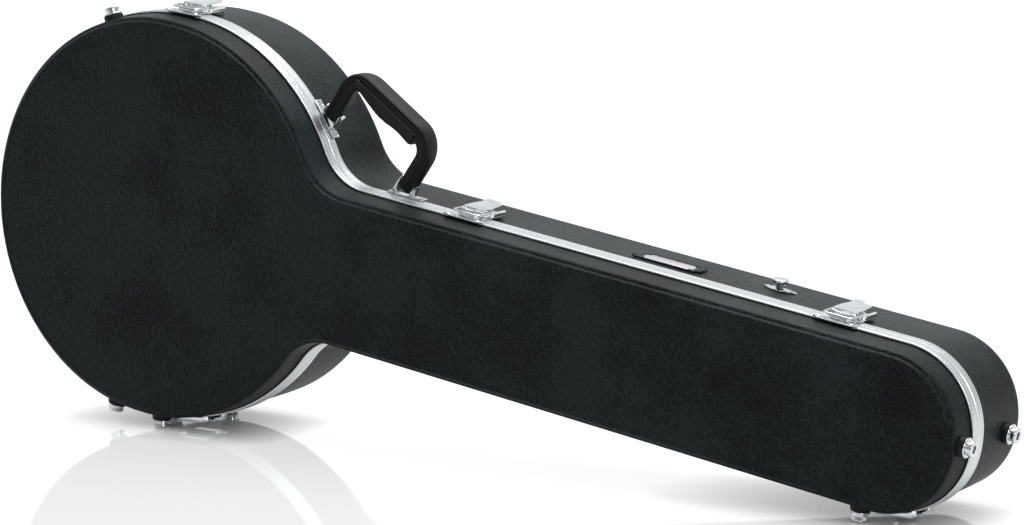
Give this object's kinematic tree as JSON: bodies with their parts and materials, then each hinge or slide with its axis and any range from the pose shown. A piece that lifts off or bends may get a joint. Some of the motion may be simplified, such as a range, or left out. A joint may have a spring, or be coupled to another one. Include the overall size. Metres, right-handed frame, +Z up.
{
  "type": "banjo case",
  "caption": "Hard-shell banjo case standing on its hinge edge: round body, long neck, aluminium valance, draw latches, folding handle and padded interior.",
  "frame": {"origin": "middle of the bounding box's base, on the floor that the feet stand on", "axes": "+X along the length towards the neck's end, +Y from the lid's face towards the base's back, +Z up"},
  "size_m": [1.1114, 0.136, 0.4305],
  "materials": {
    "black_abs": "fine pebble grain, moulded",
    "satin_aluminium": "satin, fine lengthwise lines",
    "chrome_hardware": "bright chrome plating",
    "black_rubber": "matt moulded rubber",
    "plush_lining": "short pile plush over foam",
    "plated_steel": "plated, satin"
  },
  "bodies": {
    "base": {"base_shell": "black_abs", "base_valance": "satin_aluminium", "base_lining": "plush_lining", "accessory_box": "plush_lining", "accessory_box_lid": "plush_lining", "neck_cradle": "plush_lining", "latch_1_plate": "chrome_hardware", "latch_2_plate": "chrome_hardware", "latch_3_plate": "chrome_hardware", "handle_bracket_body": "chrome_hardware", "handle_bracket_neck": "chrome_hardware", "hinge_body_base_leaf": "chrome_hardware", "hinge_body_pin": "plated_steel", "hinge_end_base_leaf": "chrome_hardware", "hinge_end_pin": "plated_steel", "foot_pad_base_body_low": "black_rubber", "foot_cup_base_body_low": "chrome_hardware", "foot_pad_base_body_floor": "black_rubber", "foot_cup_base_body_floor": "chrome_hardware", "foot_pad_base_neck_floor": "black_rubber", "foot_cup_base_neck_floor": "chrome_hardware", "foot_pad_base_end": "black_rubber", "foot_cup_base_end": "chrome_hardware", "strap_post": "chrome_hardware", "name_plate_frame": "black_abs", "name_plate": "plated_steel"},
    "lid": {"lid_shell": "black_abs", "lid_valance": "satin_aluminium", "lid_lining": "plush_lining", "latch_1_keeper": "chrome_hardware", "latch_2_keeper": "chrome_hardware", "latch_3_keeper": "chrome_hardware", "hinge_body_lid_leaf": "chrome_hardware", "hinge_end_lid_leaf": "chrome_hardware", "foot_pad_lid_body_top": "black_rubber", "foot_cup_lid_body_top": "chrome_hardware", "foot_pad_lid_body_low": "black_rubber", "foot_cup_lid_body_low": "chrome_hardware", "foot_pad_lid_body_floor": "black_rubber", "foot_cup_lid_body_floor": "chrome_hardware", "foot_pad_lid_neck_floor": "black_rubber", "foot_cup_lid_neck_floor": "chrome_hardware", "foot_pad_lid_end": "black_rubber", "foot_cup_lid_end": "chrome_hardware"},
    "handle": {"handle": "black_rubber"},
    "latch_1_lever": {"latch_1_lever": "chrome_hardware"},
    "latch_1_loop": {"latch_1_loop": "chrome_hardware"},
    "latch_2_lever": {"latch_2_lever": "chrome_hardware"},
    "latch_2_loop": {"latch_2_loop": "chrome_hardware"},
    "latch_3_lever": {"latch_3_lever": "chrome_hardware"},
    "latch_3_loop": {"latch_3_loop": "chrome_hardware"}
  },
  "joints": [
    {"name": "lid_hinge", "type": "hinge", "parent": "base", "child": "lid", "pos_m": [-0.32565, -0.025, 0.00669], "axis": [1, 0, 0], "range_deg": [0, 105]},
    {"name": "handle_fold", "type": "hinge", "parent": "base", "child": "handle", "pos_m": [-0.11446, -0.014, 0.29357], "axis": [0.8067, 0, -0.591], "range_deg": [-70, 70]},
    {"name": "latch_1_open", "type": "hinge", "parent": "base", "child": "latch_1_lever", "pos_m": [-0.32593, -0.0205, 0.42332], "axis": [0.9928, 0, -0.1198], "range_deg": [0, 105]},
    {"name": "latch_1_loop_lift", "type": "hinge", "parent": "latch_1_lever", "child": "latch_1_loop", "pos_m": [-0.32584, -0.013, 0.42411], "axis": [0.9928, 0, -0.1198], "range_deg": [-140, 0]},
    {"name": "latch_2_open", "type": "hinge", "parent": "base", "child": "latch_2_lever", "pos_m": [0.00933, -0.0205, 0.24254], "axis": [0.988, 0, -0.1543], "range_deg": [0, 105]},
    {"name": "latch_2_loop_lift", "type": "hinge", "parent": "latch_2_lever", "child": "latch_2_loop", "pos_m": [0.00946, -0.013, 0.24333], "axis": [0.988, 0, -0.1543], "range_deg": [-140, 0]},
    {"name": "latch_3_open", "type": "hinge", "parent": "base", "child": "latch_3_lever", "pos_m": [0.40964, -0.0205, 0.18], "axis": [0.988, 0, -0.1543], "range_deg": [0, 105]},
    {"name": "latch_3_loop_lift", "type": "hinge", "parent": "latch_3_lever", "child": "latch_3_loop", "pos_m": [0.40976, -0.013, 0.18079], "axis": [0.988, 0, -0.1543], "range_deg": [-140, 0]}
  ],
  "couplings": [
    {"joint": "latch_1_loop_lift", "follows": "latch_1_open", "ratio": -1.3},
    {"joint": "latch_2_loop_lift", "follows": "latch_2_open", "ratio": -1.3},
    {"joint": "latch_3_loop_lift", "follows": "latch_3_open", "ratio": -1.3}
  ]
}
